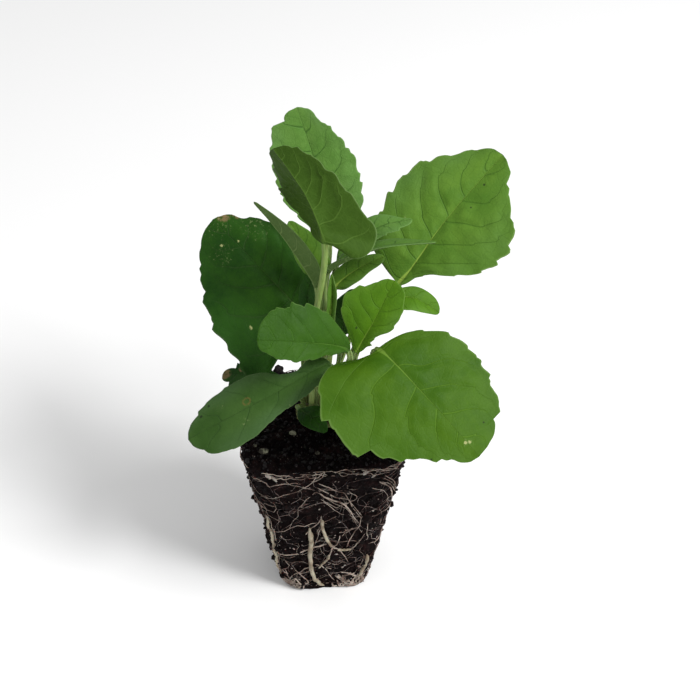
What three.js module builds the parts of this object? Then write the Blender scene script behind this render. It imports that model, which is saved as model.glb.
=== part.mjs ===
// A young valerian plant as it slides out of its tray: a tapered block of growing mix held
// together by its own roots, a short crown and nineteen stalked leaves. There is no pot.
// Millimetres, +Z up. The origin is the centre of the block's flat foot.
import * as THREE from 'three';

// ---- the block of growing mix ----
const PLUG_HEIGHT = 68;
const PLUG_TOP_WIDTH = 57;
const PLUG_FOOT_WIDTH = 32;
const PLUG_TOP_CORNER = 12;      // radius of the upright corners, at the top
const PLUG_FOOT_CORNER = 8;      // and at the foot
const PLUG_RIM_ROUND = 2;        // rounding where the walls meet the top
const PLUG_TURN = 5;             // degrees the square block is turned about the upright axis

// ---- the crown and the leaf stalks ----
const STALK_RADIUS = 1.3;
const STALK_SPACING = 0.7;       // free space between neighbouring stalks at the crown
const STALK_RISE = 3;            // height over which a stalk leaves the crown upright
const CROWN_HEIGHT = 2.6;
const CROWN_MARGIN = 1.2;        // crown left outside the outer ring of stalks
const TOUCH_GAP = 0.3;           // kept between pieces that touch
const INNER_SEATS = 6;           // stalks around the centre stalk
const OUTER_SEATS = 12;

// ---- the layout that the tables of places below are given for ----
const LAYOUT_PITCH = 3.3;        // between neighbouring stalks: a leaf moves out with its seat
const LAYOUT_TOP = 57;           // width of the block's top: the grit spreads with it

// ---- the blades ----
const BLADE_THICKNESS = 0.8;
const MIDRIB_EXTRA = 0.3;        // extra half thickness along the midrib, at the blade's foot
const BLADE_STATIONS = [0.02, 0.06, 0.12, 0.2, 0.3, 0.4, 0.5, 0.6, 0.7, 0.8, 0.88, 0.94, 0.98];
const STALK_STATIONS = [0, 0.17, 0.33, 0.5, 0.67, 0.83, 1];
const STALK_SHARE = 0.6;         // share of a spine's spans that is stalk: three of its five

// ---- roots and grit ----
const ROOT_SIDES = 7;
const GRIT_FLATNESS = 0.6;

const GREEN = { slot: 'leaf_mid', color: 0x4f7f35, roughness: 0.55 };
const DARK = { slot: 'leaf_dark', color: 0x2c5227, roughness: 0.5 };
const BRIGHT = { slot: 'leaf_bright', color: 0x6a9a3c, roughness: 0.55 };

// Each leaf: its seat on the crown [ring, place], the stalk's knee, the blade's foot, middle and
// tip (x, y and height above the top of the block), the way the upper face looks at the foot and
// at the tip, the half widths to the left and right at 10, 30, 50, 70 and 90 % of the blade, the
// angle at which the halves fold up, and where wanted teeth [place, depth] and foot lobes.
const LEAVES = [
  { name: 'leaf_back_tall', seat: [2, 4], look: GREEN,
    knee: [-1, 11, 28], foot: [3, 17, 60], middle: [-1, 24, 83], tip: [-7, 28, 103],
    faces: [[0.1, -1, 0.3], [0, -1, 0.2]], fold: [6, 4],
    left: [6, 12, 14, 13, 9], right: [9, 13, 13, 10, 5],
    teethLeft: [[0.4, 0.5], [0.84, 3]], teethRight: [[0.35, 0.6], [0.6, 0.6], [0.8, 0.5]] },
  { name: 'leaf_front_upright', seat: [2, 8], look: DARK,
    knee: [-2, -6, 40], foot: [2, -10, 76], middle: [-1, -8, 91], tip: [-7, -4, 104],
    faces: [[0.25, 0.95, 0.2], [0.3, 0.9, 0.4]], fold: [28, 25],
    left: [14, 13, 11, 8, 5], right: [5, 8, 12, 18, 18],
    teethLeft: [[0.9, 1]], teethRight: [[0.62, 3], [0.82, 3]], lobes: [0.6, 0] },
  { name: 'leaf_right_high', seat: [2, 2], look: BRIGHT,
    knee: [12, 8, 32], foot: [26, 11, 47], middle: [41, 21, 65], tip: [60, 32, 84],
    faces: [[-0.1, -0.6, 0.8], [0, -0.6, 0.8]], fold: [6, 4],
    left: [16, 19, 21, 18, 9], right: [3, 17, 23, 21, 8],
    teethLeft: [[0.45, 0.5], [0.7, 0.6]], teethRight: [[0.5, 0.8], [0.62, 1], [0.75, 1], [0.88, 1]] },
  { name: 'leaf_left_broad', seat: [2, 5], look: DARK,
    knee: [-6, 5, 25], foot: [-6, 8, 35], middle: [-20, 16, 50], tip: [-36, 26, 63],
    faces: [[-0.1, -0.7, 0.8], [-0.2, -0.8, 0.6]], fold: [4, 0],
    left: [24, 27, 24, 19, 11], right: [6, 14, 16, 13, 6],
    teethLeft: [[0.25, 1], [0.45, 1], [0.65, 1], [0.82, 0.8]], lobes: [0.2, 0] },
  { name: 'leaf_left_narrow', seat: [1, 4], look: GREEN,
    knee: [-2, -1, 37], foot: [-1, -1, 54], middle: [-9, -1, 70], tip: [-20, 1, 84],
    faces: [[0.7, 0.45, 0.3], [0.7, 0.45, 0.3]], fold: [20, 15],
    left: [4, 7, 8, 6, 3], right: [4, 7, 8, 6, 3] },
  { name: 'leaf_left_young', seat: [1, 2], look: BRIGHT,
    knee: [-2, 7, 31], foot: [0, 8, 52], middle: [-4, 10, 61], tip: [-10, 13, 70],
    faces: [[0, -0.8, 0.6], [0, -0.8, 0.6]], fold: [8, 8],
    left: [4, 5, 5, 4, 2], right: [4, 5, 5, 4, 2] },
  { name: 'leaf_right_toothed', seat: [2, 3], look: GREEN,
    knee: [3, 9, 35], foot: [6, 12, 55], middle: [19, 14, 67], tip: [30, 14, 70],
    faces: [[0, -0.3, 1], [0, -0.3, 1]], fold: [10, 10],
    left: [3, 5, 5, 3, 1], right: [3, 5, 5, 5, 3], teethRight: [[0.6, 0.6], [0.8, 0.8]] },
  { name: 'leaf_right_narrow', seat: [0, 0], look: GREEN,
    knee: [2, 1, 39], foot: [3, 2, 58], middle: [18, 0, 68], tip: [37, 0, 70],
    faces: [[0.1, 0.2, 1], [0.1, 0.3, 1]], fold: [10, 10],
    left: [6, 7, 5, 4, 2], right: [6, 7, 5, 4, 2] },
  { name: 'leaf_right_young', seat: [1, 1], look: BRIGHT,
    knee: [4, 3, 33], foot: [5, 4, 50], middle: [12, 6, 56], tip: [21, 9, 59],
    faces: [[0, -0.5, 0.8], [0, -0.5, 0.8]], fold: [8, 8],
    left: [3, 4, 4, 3, 2], right: [3, 4, 4, 3, 2] },
  { name: 'leaf_middle_left', seat: [2, 10], look: GREEN,
    knee: [8, -9, 22], foot: [9, -14, 38], middle: [-5, -22, 47], tip: [-19, -25, 50],
    faces: [[0, -0.75, 0.65], [0, -0.75, 0.65]], fold: [5, 0],
    left: [2, 4, 6, 6, 4], right: [4, 10, 12, 11, 8],
    teethRight: [[0.5, 0.8], [0.64, 1.2], [0.8, 0.6]] },
  { name: 'leaf_middle_front', seat: [2, 11], look: GREEN,
    knee: [10, -5, 20], foot: [12, -8, 33], middle: [18, -6, 45], tip: [24, -2, 57],
    faces: [[0, -0.8, 0.6], [0, -0.8, 0.6]], fold: [10, 5],
    left: [3, 9, 12, 11, 5], right: [2, 4, 7, 7, 5],
    teethLeft: [[0.78, 1]], teethRight: [[0.2, 0.8]] },
  { name: 'leaf_right_oval', seat: [2, 1], look: BRIGHT,
    knee: [11, 2, 27], foot: [21, 0, 48], middle: [30, 0, 49], tip: [39, 0, 43],
    faces: [[0, -0.5, 0.9], [0, -0.5, 0.9]], fold: [8, 8],
    left: [2, 3, 4, 4, 3], right: [2, 5, 5, 4, 2] },
  { name: 'leaf_front_broad', seat: [2, 0], look: BRIGHT,
    knee: [16, -6, 24], foot: [19, -18, 41], middle: [34, -31, 32], tip: [50, -43, 18],
    faces: [[0.1, -0.6, 0.8], [0.2, -0.7, 0.7]], fold: [0, -8],
    left: [12, 20, 22, 20, 14], right: [17, 29, 28, 19, 8],
    teethLeft: [[0.5, 0.5], [0.66, 0.8], [0.88, 2.2]],
    teethRight: [[0.05, 0.8], [0.27, 1.5], [0.4, 3.5], [0.66, 1.2], [0.84, 1.2]], lobes: [0, 0.9] },
  { name: 'leaf_front_long', seat: [2, 9], look: GREEN,
    knee: [2, -7, 15], foot: [3, -11, 30], middle: [-16, -21, 25], tip: [-43, -25, 10],
    faces: [[-0.2, -0.6, 0.8], [-0.2, -0.6, 0.8]], fold: [0, -5],
    left: [4, 6, 7, 10, 8], right: [4, 3, 9, 10, 7],
    teethLeft: [[0.93, 0.8]], teethRight: [[0.9, 0.8]] },
  { name: 'leaf_rear_ragged', seat: [2, 6], look: DARK,
    knee: [-9, 2, 8], foot: [-12, 5, 9], middle: [-23, 10, 10], tip: [-35, 14, 7],
    faces: [[0, -0.4, 0.9], [0, -0.4, 0.9]], fold: [8, 8],
    left: [2, 3, 4, 5, 4], right: [2, 3, 4, 4, 3],
    teethLeft: [[0.5, 1], [0.7, 1.5], [0.85, 1.5]], teethRight: [[0.6, 1], [0.8, 1.5]] },
  { name: 'leaf_centre_left', seat: [1, 3], look: DARK,
    knee: [-4, 2, 28], foot: [-2, 3, 36], middle: [-4, 3, 47], tip: [-2, 4, 56],
    faces: [[-0.3, -0.8, 0.5], [-0.3, -0.8, 0.5]], fold: [15, 15],
    left: [2, 3, 3, 3, 2], right: [2, 3, 3, 3, 2] },
  { name: 'leaf_centre_folded', seat: [1, 5], look: BRIGHT,
    knee: [3, -3, 28], foot: [3, -3, 40], middle: [4, -3, 50], tip: [4, -3, 60],
    faces: [[0, -0.9, 0.4], [0, -0.9, 0.4]], fold: [40, 40],
    left: [2, 2, 2, 2, 1], right: [2, 2, 2, 2, 1] },
  { name: 'leaf_centre_right', seat: [1, 0], look: DARK,
    knee: [6, -1, 24], foot: [7, -1, 35], middle: [9, -1, 45], tip: [11, -1, 53],
    faces: [[0, -0.8, 0.5], [0, -0.8, 0.5]], fold: [8, 8],
    left: [3, 4, 5, 4, 2], right: [3, 4, 5, 4, 2] },
  { name: 'leaf_low_small', seat: [2, 7], look: DARK,
    knee: [-8, -5, 8], foot: [-7, -8, 9], middle: [-3, -12, 9], tip: [2, -15, 5],
    faces: [[0, -0.2, 1], [0, -0.2, 1]], fold: [8, 8],
    left: [2, 4, 5, 4, 2], right: [2, 4, 5, 4, 2] },
];

// The thick roots on the walls: thickest and end radius, then points [degrees round the block,
// height above its foot]. 270 degrees is the front.
const ROOTS = [
  { name: 'root_front_corner', radius: [0.6, 0.5], path: [[230, 41], [230, 32], [226, 20], [223, 10], [221, 3]] },
  { name: 'root_front_centre', radius: [0.9, 0.6], path: [[260, 38], [260, 27], [258, 19], [259, 10], [265, 4], [272, 2]] },
  { name: 'root_front_fork', radius: [0.6, 0.5], path: [[270, 42], [273, 32], [280, 25]] },
  { name: 'root_fork_left', radius: [0.5, 0.35], path: [[277, 21], [273, 17], [265, 13]] },
  { name: 'root_fork_right', radius: [0.5, 0.35], path: [[285, 24], [291, 23], [298, 23]] },
  { name: 'root_front_slant', radius: [0.6, 0.5], path: [[268, 56], [280, 51], [288, 49], [294, 44], [300, 38]] },
  { name: 'root_slant_branch', radius: [0.45, 0.35], path: [[297, 35], [292, 34], [286, 33]] },
  { name: 'root_right_low', radius: [0.7, 0.5], path: [[313, 18], [312, 12], [308, 6]] },
  { name: 'root_right_high', radius: [0.6, 0.4], path: [[308, 60], [316, 55], [322, 47]] },
  { name: 'root_right_long', radius: [0.7, 0.5], path: [[350, 54], [343, 40], [347, 24], [338, 6]] },
  { name: 'root_back_right', radius: [0.7, 0.5], path: [[52, 52], [64, 40], [70, 25], [86, 10]] },
  { name: 'root_back_left', radius: [0.7, 0.5], path: [[122, 58], [112, 45], [118, 28], [110, 6]] },
  { name: 'root_left_long', radius: [0.7, 0.5], path: [[172, 56], [180, 42], [174, 26], [184, 8]] },
];

// Grains of grit lying on top: x, y and size.
const GRIT = [
  { name: 'grit_front_left', at: [-9.5, -11], size: 1.8 },
  { name: 'grit_left_edge', at: [-19, -21], size: 2.4 },
  { name: 'grit_left_small', at: [-22, -17], size: 1.2 },
  { name: 'grit_front_middle', at: [-1, -21], size: 1.2 },
  { name: 'grit_front_right', at: [11, -22], size: 1.4 },
  { name: 'grit_back_left', at: [-14, 17], size: 2 },
  { name: 'grit_back_right', at: [17, 18], size: 1.6 },
];

const mix = THREE.MathUtils.lerp;
const smooth = (x) => THREE.MathUtils.smoothstep(x, 0, 1);

// A closed body through rings of as many points each, with a flat fan over each end.
function closedLoft(rings) {
  const sides = rings[0].length;
  const middle = (ring) => ring.reduce((sum, p) => sum.add(p), new THREE.Vector3()).divideScalar(sides);
  const points = [...rings.flat(), middle(rings[0]), middle(rings[rings.length - 1])];
  const firstCap = rings.length * sides;
  const lastCap = firstCap + 1;
  const faces = [];
  for (let side = 0; side < sides; side++) {
    const next = (side + 1) % sides;
    for (let ring = 0; ring < rings.length - 1; ring++) {
      const here = ring * sides;
      const above = here + sides;
      faces.push(here + side, here + next, above + next);
      faces.push(here + side, above + next, above + side);
    }
    const top = (rings.length - 1) * sides;
    faces.push(firstCap, next, side);
    faces.push(lastCap, top + side, top + next);
  }
  const geometry = new THREE.BufferGeometry().setFromPoints(points);
  geometry.setIndex(faces);
  geometry.computeVertexNormals();
  return geometry;
}

// ---- the block's wall: a square with round corners that tapers to the foot ----
const plugHalf = (z) => mix(PLUG_FOOT_WIDTH, PLUG_TOP_WIDTH, z / PLUG_HEIGHT) / 2;
const plugCorner = (z) => mix(PLUG_FOOT_CORNER, PLUG_TOP_CORNER, z / PLUG_HEIGHT);

// How far the wall is from the upright axis, in the direction of an angle in degrees.
function wallReach(degrees, half, corner) {
  const turned = THREE.MathUtils.degToRad(degrees - PLUG_TURN);
  const long = Math.max(Math.abs(Math.cos(turned)), Math.abs(Math.sin(turned)));
  const short = Math.min(Math.abs(Math.cos(turned)), Math.abs(Math.sin(turned)));
  const flat = half - corner;
  if (half * short <= flat * long) return half / long;
  const along = flat * (long + short);
  return along + Math.sqrt(along * along - 2 * flat * flat + corner * corner);
}

function wallPoint(degrees, z, standOff) {
  const reach = wallReach(degrees, plugHalf(z), plugCorner(z)) + standOff;
  const angle = THREE.MathUtils.degToRad(degrees);
  return new THREE.Vector3(reach * Math.cos(angle), reach * Math.sin(angle), z);
}

function plugGeometry() {
  const heights = [0, 0.2, 0.4, 0.6, 0.8].map((share) => share * (PLUG_HEIGHT - PLUG_RIM_ROUND));
  const rings = heights.map((z) => ({ z, inset: 0 }));
  for (let step = 0; step <= 4; step++) {
    const angle = (step / 4) * Math.PI / 2;
    const z = PLUG_HEIGHT - PLUG_RIM_ROUND * (1 - Math.sin(angle));
    rings.push({ z, inset: PLUG_RIM_ROUND * (1 - Math.cos(angle)) });
  }
  return closedLoft(rings.map(({ z, inset }) => {
    const ring = [];
    for (let degrees = 0; degrees < 360; degrees += 9) ring.push(wallPoint(degrees + PLUG_TURN, z, -inset));
    return ring;
  }));
}

// ---- the crown: a low disc with a seat for each stalk ----
const seatPitch = 2 * STALK_RADIUS + STALK_SPACING;
const ringRadius = (count) => seatPitch / (2 * Math.sin(Math.PI / count));
const seatRadii = [0, ringRadius(INNER_SEATS), ringRadius(OUTER_SEATS)];
const crownRadius = seatRadii[2] + STALK_RADIUS + CROWN_MARGIN;
const crownFoot = PLUG_HEIGHT + TOUCH_GAP;
const seatHeight = crownFoot + CROWN_HEIGHT + TOUCH_GAP;

function crownGeometry() {
  const edge = CROWN_HEIGHT / 2;
  const profile = [new THREE.Vector2(0, 0), new THREE.Vector2(crownRadius - edge / 2, 0)];
  for (let step = 0; step <= 3; step++) {
    const angle = (step / 3) * Math.PI / 2;
    const out = crownRadius - edge + edge * Math.cos(angle);
    profile.push(new THREE.Vector2(out, CROWN_HEIGHT - edge + edge * Math.sin(angle)));
  }
  profile.push(new THREE.Vector2(0, CROWN_HEIGHT));
  return new THREE.LatheGeometry(profile, 36).rotateX(Math.PI / 2);
}

function seatPoint([ring, place]) {
  const count = [1, INNER_SEATS, OUTER_SEATS][ring];
  const angle = (place / count) * Math.PI * 2;
  return new THREE.Vector3(seatRadii[ring] * Math.cos(angle), seatRadii[ring] * Math.sin(angle), seatHeight);
}

// ---- leaves: a spine of five spans, three of stalk and two of blade ----
function spineOf(leaf) {
  const seat = seatPoint(leaf.seat);
  const moved = 1 - LAYOUT_PITCH / seatPitch;
  const placed = ([x, y, height]) =>
    new THREE.Vector3(x + seat.x * moved, y + seat.y * moved, PLUG_HEIGHT + height);
  const risen = seat.clone().setZ(seatHeight + STALK_RISE);
  return new THREE.CatmullRomCurve3([seat, risen, ...[leaf.knee, leaf.foot, leaf.middle, leaf.tip].map(placed)]);
}

// The half width of one side before its teeth, at a share of the blade's length.
function halfWidth(widths, share) {
  const places = [0.1, 0.3, 0.5, 0.7, 0.9];
  const fullness = widths.map((w, i) => new THREE.Vector2(places[i], w / Math.sqrt(places[i] * (1 - places[i]))));
  const along = THREE.MathUtils.clamp((share - 0.1) / 0.8, 0, 1);
  return new THREE.SplineCurve(fullness).getPoint(along).y * Math.sqrt(share * (1 - share));
}

// Past each tooth the margin steps in and then swells out again to the next one.
function toothCut(teeth, share) {
  const ends = [...teeth.map(([place]) => place), 1];
  let cut = 0;
  teeth.forEach(([place, depth], i) => {
    const along = (share - place) / (ends[i + 1] - place);
    if (along > 0 && along < 1) cut = depth * (1 - along) ** 1.5;
  });
  return cut;
}

// A place on the spine as a share of the blade's length: 0 all along the stalk.
const bladeShare = (at) => Math.max((at - STALK_SHARE) / (1 - STALK_SHARE), 0);

function spineFrame(leaf, spine, at) {
  const along = spine.getTangent(at);
  const share = smooth(bladeShare(at));
  const [foot, tip] = leaf.faces.map((face) => new THREE.Vector3(...face).normalize());
  const up = foot.lerp(tip, share);
  up.addScaledVector(along, -up.dot(along)).normalize();
  return { point: spine.getPoint(at), along, up, across: along.clone().cross(up) };
}

// One cross-section: eight points from the left margin over the top to the right margin and back.
function leafSection(leaf, spine, at) {
  const frame = spineFrame(leaf, spine, at);
  const share = bladeShare(at);
  const flat = smooth(share / 0.25);
  const thin = BLADE_THICKNESS / 2;
  const ribLift = mix(STALK_RADIUS, thin + MIDRIB_EXTRA * (1 - share), flat);
  const sideLift = mix(STALK_RADIUS * Math.SQRT1_2, thin, flat);
  const sideShare = mix(Math.SQRT1_2, 0.5, flat);
  const fold = THREE.MathUtils.degToRad(mix(leaf.fold[0], leaf.fold[1], share)) * flat;
  const lobes = leaf.lobes ?? [0, 0];
  const point = (side, outShare, lift) => {
    const widths = side < 0 ? leaf.left : leaf.right;
    const teeth = (side < 0 ? leaf.teethLeft : leaf.teethRight) ?? [];
    const blade = halfWidth(widths, share) - toothCut(teeth, share);
    const width = Math.max(blade, mix(STALK_RADIUS, thin, share));
    const back = lobes[side < 0 ? 0 : 1] * width * Math.max(1 - share / 0.6, 0) ** 2 * smooth(share / 0.02);
    const tilt = side === 0 ? 0 : fold;
    return frame.point.clone()
      .addScaledVector(frame.across, side * (width * outShare * Math.cos(tilt) - lift * Math.sin(tilt)))
      .addScaledVector(frame.up, width * outShare * Math.sin(tilt) + lift * Math.cos(tilt))
      .addScaledVector(frame.along, -back * outShare);
  };
  return [
    point(-1, 1, 0), point(-1, sideShare, sideLift), point(0, 0, ribLift), point(1, sideShare, sideLift),
    point(1, 1, 0), point(1, sideShare, -sideLift), point(0, 0, -ribLift), point(-1, sideShare, -sideLift),
  ];
}

// Blade stations crowd at each tooth, so its step stays sharp.
function bladeStations(leaf) {
  const teeth = [...(leaf.teethLeft ?? []), ...(leaf.teethRight ?? [])].map(([place]) => place);
  const steps = teeth.flatMap((place) => [place, place + 0.015]);
  const clear = BLADE_STATIONS.filter((station) => steps.every((step) => Math.abs(step - station) > 0.012));
  return [...clear, ...steps].sort((a, b) => a - b).filter((s, i, all) => i === 0 || s - all[i - 1] > 0.004);
}

function leafGeometry(leaf) {
  const spine = spineOf(leaf);
  const stalk = STALK_STATIONS.map((share) => share * STALK_SHARE);
  const blade = bladeStations(leaf).map((share) => mix(STALK_SHARE, 1, share));
  return closedLoft([...stalk, ...blade].map((at) => leafSection(leaf, spine, at)));
}

// ---- roots and grit ----
function rootGeometry(root) {
  const standOff = root.radius[0] + TOUCH_GAP;
  const steps = (root.path.length - 1) * 3;
  const route = new THREE.SplineCurve(root.path.map(([degrees, z]) => new THREE.Vector2(degrees, z)));
  const onWall = ({ x: degrees, y: z }) => wallPoint(degrees, z, standOff);
  const curve = new THREE.CatmullRomCurve3(route.getPoints(steps).map(onWall));
  const frames = curve.computeFrenetFrames(steps);
  const rings = [];
  for (let step = 0; step <= steps; step++) {
    const share = step / steps;
    const swell = smooth(share / 0.15) * smooth((1 - share) / 0.15);
    const radius = mix(root.radius[0], root.radius[1], share) * mix(0.5, 1, swell);
    const centre = curve.getPointAt(share);
    const ring = [];
    for (let side = 0; side < ROOT_SIDES; side++) {
      const angle = (side / ROOT_SIDES) * Math.PI * 2;
      ring.push(centre.clone()
        .addScaledVector(frames.normals[step], radius * Math.cos(angle))
        .addScaledVector(frames.binormals[step], radius * Math.sin(angle)));
    }
    rings.push(ring);
  }
  return closedLoft(rings);
}

function gritGeometry(grain) {
  const stone = new THREE.IcosahedronGeometry(grain.size, 0).rotateX(grain.size).rotateZ(grain.at[0]);
  stone.scale(1, 0.75, GRIT_FLATNESS);
  stone.computeBoundingBox();
  const [x, y] = grain.at.map((place) => place * PLUG_TOP_WIDTH / LAYOUT_TOP);
  return stone.translate(x, y, PLUG_HEIGHT + TOUCH_GAP - stone.boundingBox.min.z);
}

const group = new THREE.Group();

function addPiece(name, geometry, color, roughness) {
  const mesh = new THREE.Mesh(geometry, new THREE.MeshStandardMaterial({ color, roughness, metalness: 0 }));
  mesh.name = name;
  group.add(mesh);
  return mesh;
}

addPiece('root_ball', plugGeometry(), 0x1d1511, 0.95);
addPiece('crown', crownGeometry(), 0x55702f, 0.7).position.z = crownFoot;
for (const leaf of LEAVES) addPiece(leaf.name, leafGeometry(leaf), leaf.look.color, leaf.look.roughness);
for (const root of ROOTS) addPiece(root.name, rootGeometry(root), 0xb5a585, 0.75);
for (const grain of GRIT) addPiece(grain.name, gritGeometry(grain), 0xb9b3a1, 0.85);

export default group;
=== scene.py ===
"""A young valerian out of its tray: a block of dark growing mix, its net of pale roots, and its leaves.

Shapes are worked out in millimetres in the frame of the solids, and made metres when a piece is finished.
"""

import math
import random

import bmesh
import bpy
import numpy as np
from mathutils import Euler, Matrix, Vector, noise


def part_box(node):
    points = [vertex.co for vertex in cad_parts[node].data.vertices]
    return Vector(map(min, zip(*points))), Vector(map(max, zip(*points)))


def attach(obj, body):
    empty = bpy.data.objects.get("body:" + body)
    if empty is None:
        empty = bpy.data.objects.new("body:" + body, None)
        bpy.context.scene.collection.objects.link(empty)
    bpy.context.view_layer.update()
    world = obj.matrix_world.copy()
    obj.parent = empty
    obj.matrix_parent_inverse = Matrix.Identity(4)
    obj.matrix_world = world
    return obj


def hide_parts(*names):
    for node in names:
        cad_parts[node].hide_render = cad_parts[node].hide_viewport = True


NOISE_SEED = 5
noise.seed_set(NOISE_SEED)  # otherwise the vector noise starts from the clock

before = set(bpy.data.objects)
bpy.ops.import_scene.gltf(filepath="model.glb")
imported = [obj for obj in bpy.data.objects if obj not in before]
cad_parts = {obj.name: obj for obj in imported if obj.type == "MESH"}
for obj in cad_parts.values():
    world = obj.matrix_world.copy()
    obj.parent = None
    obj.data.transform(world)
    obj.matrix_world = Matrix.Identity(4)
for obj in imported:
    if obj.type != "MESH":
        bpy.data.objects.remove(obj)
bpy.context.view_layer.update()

MM = 0.001
block_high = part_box("root_ball")[1] / MM
crown_low, crown_high = [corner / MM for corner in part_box("crown")]

# ---- sizes that the solids share ----
PLUG_HEIGHT = block_high.z
PLUG_TOP_WIDTH = 57
PLUG_FOOT_WIDTH = 32
PLUG_TOP_CORNER = 12
PLUG_FOOT_CORNER = 8
PLUG_RIM_ROUND = 2
PLUG_TURN = 5
STALK_RADIUS = 1.3
STALK_PITCH = 3.3
STALK_RISE = 3
TOUCH_GAP = 0.3
SEATS = [1, 6, 12]
SEAT_HEIGHT = crown_high.z + TOUCH_GAP
BLADE_THICKNESS = 0.8
STALK_SHARE = 0.6

# ---- sizes that only the look has ----
SPINE_STEPS = 24
STALK_ROWS = 22
STALK_MAP_LENGTH = 60
VEIN_OFFSET = 0.18
EDGE_REACH = 0.993
WALL_ROUGHNESS = 0.85
TOP_ROUGHNESS = 1.1
CRUMBLE_INSET = 0.5
CRUMBLE_MOST = 1.3
TUBE_END = 0.0004
CLODS = 30
BUNDLED_ROOT_SIZE = 0.42

# ---- floor, light and camera, in metres ----
FLOOR_HALF = 6
WORLD_STRENGTH = 0.66
LAMP_SIZE = 0.52
LAMP_ENERGY = 18
LAMP_AIM = Vector((0.01, 0.0, 0.09))
LAMP_WAY = Vector((0.88, -0.52, 0.98))
LAMP_DISTANCE = 1.3
CAMERA_LENS = 69.4
CAMERA_AIM = Vector((0.0098, 0.0, 0.096))
CAMERA_TILT = math.radians(36)
CAMERA_DISTANCE = 0.45

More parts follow.
